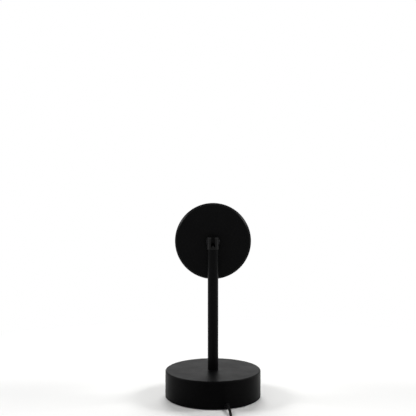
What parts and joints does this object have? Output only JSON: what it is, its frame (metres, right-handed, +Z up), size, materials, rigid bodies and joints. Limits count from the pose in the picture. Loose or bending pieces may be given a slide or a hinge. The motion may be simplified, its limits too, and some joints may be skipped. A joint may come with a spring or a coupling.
{
  "type": "sunset projection lamp",
  "caption": "Small free-standing projection lamp: a round weighted base, a thin stem and a short round head that tilts on a fork joint, with a put-away USB lead.",
  "frame": {"origin": "middle of the foot pad's underside, on the table, under the stem's axis", "axes": "+Z up, +Y the way the beam points while the head is level, +X to the right seen from behind the head"},
  "size_m": [0.1105, 0.2078, 0.1825],
  "materials": {
    "black_paint": "satin black powder coat",
    "black_paint_alloy": "die-cast alloy, satin black powder coat",
    "black_plastic": "fine-textured moulding",
    "cord_pvc": "soft PVC sheath",
    "pad_foam": "fine closed-cell foam rubber",
    "cast_iron": "as cast",
    "zinc_steel": "zinc plated",
    "black_screw": "black oxide",
    "plug_steel": "nickel-plated sheet",
    "bare_aluminium": "extruded and cut",
    "contact_brass": "gold-flashed",
    "wire_sheath": "thin black PVC insulation",
    "board_white": "white solder mask on aluminium",
    "board_green": "green solder mask on glass fibre",
    "part_dark": "moulded component bodies",
    "led_phosphor": "silicone over phosphor",
    "reflector_metal": "vacuum-metallised plastic",
    "filter_glass": "orange to pink coated glass",
    "lens_glass": "polished clear glass",
    "spring_steel": "drawn spring wire",
    "tie_nylon": "woven hook-and-loop tape"
  },
  "bodies": {
    "stand": {"base_shell": "black_paint", "base_weight": "cast_iron", "base_cover": "zinc_steel", "cover_screws": "zinc_steel", "foot_pad": "pad_foam", "cord_grommet": "cord_pvc", "cord_clamp": "black_plastic", "clamp_screws": "zinc_steel", "inner_cord": "cord_pvc", "driver_board": "board_green", "driver_parts": "part_dark", "board_screws": "zinc_steel", "supply_wires": "wire_sheath", "stem_nipple": "zinc_steel", "stem_washer": "zinc_steel", "stem_nut": "zinc_steel", "stem_tube": "black_paint", "stem_wires": "wire_sheath", "yoke": "black_paint", "pivot_screw": "black_screw", "pivot_nut": "black_screw", "friction_washers": "black_plastic", "pivot_wires": "wire_sheath", "cord_lead": "cord_pvc", "cord_coil": "cord_pvc", "coil_tie": "tie_nylon", "cord_mid": "cord_pvc", "switch_base": "black_plastic", "switch_cover": "black_plastic", "switch_module": "part_dark", "button_spring": "spring_steel", "switch_screws": "black_screw", "switch_leads": "cord_pvc", "cord_tail": "cord_pvc", "plug_body": "black_plastic", "plug_shell": "plug_steel", "plug_insert": "black_plastic", "plug_contacts": "contact_brass"},
    "head": {"head_bracket": "black_paint", "bracket_washer": "zinc_steel", "bracket_nut": "zinc_steel", "head_housing": "black_paint_alloy", "heat_sink": "bare_aluminium", "sink_screws": "zinc_steel", "led_board": "board_white", "led_screws": "zinc_steel", "led_emitter": "led_phosphor", "lens_barrel": "black_plastic", "reflector": "reflector_metal", "colour_filter": "filter_glass", "front_lens": "lens_glass", "lens_gasket": "cord_pvc", "front_bezel": "black_plastic", "head_wires": "wire_sheath"},
    "button": {"switch_button": "black_plastic"}
  },
  "joints": [
    {"name": "head_tilt", "type": "hinge", "parent": "stand", "child": "head", "pos_m": [0, 0, 0.1455], "axis": [1, 0, 0], "range_deg": [-12, 168], "deforming": ["pivot_wires"]},
    {"name": "button_press", "type": "slide", "parent": "stand", "child": "button", "axis": [0, 0, -1], "range_m": [0, 0.0015], "stiffness_N_per_m": 300, "springref_m": -0.0015, "deforming": ["button_spring"]}
  ]
}
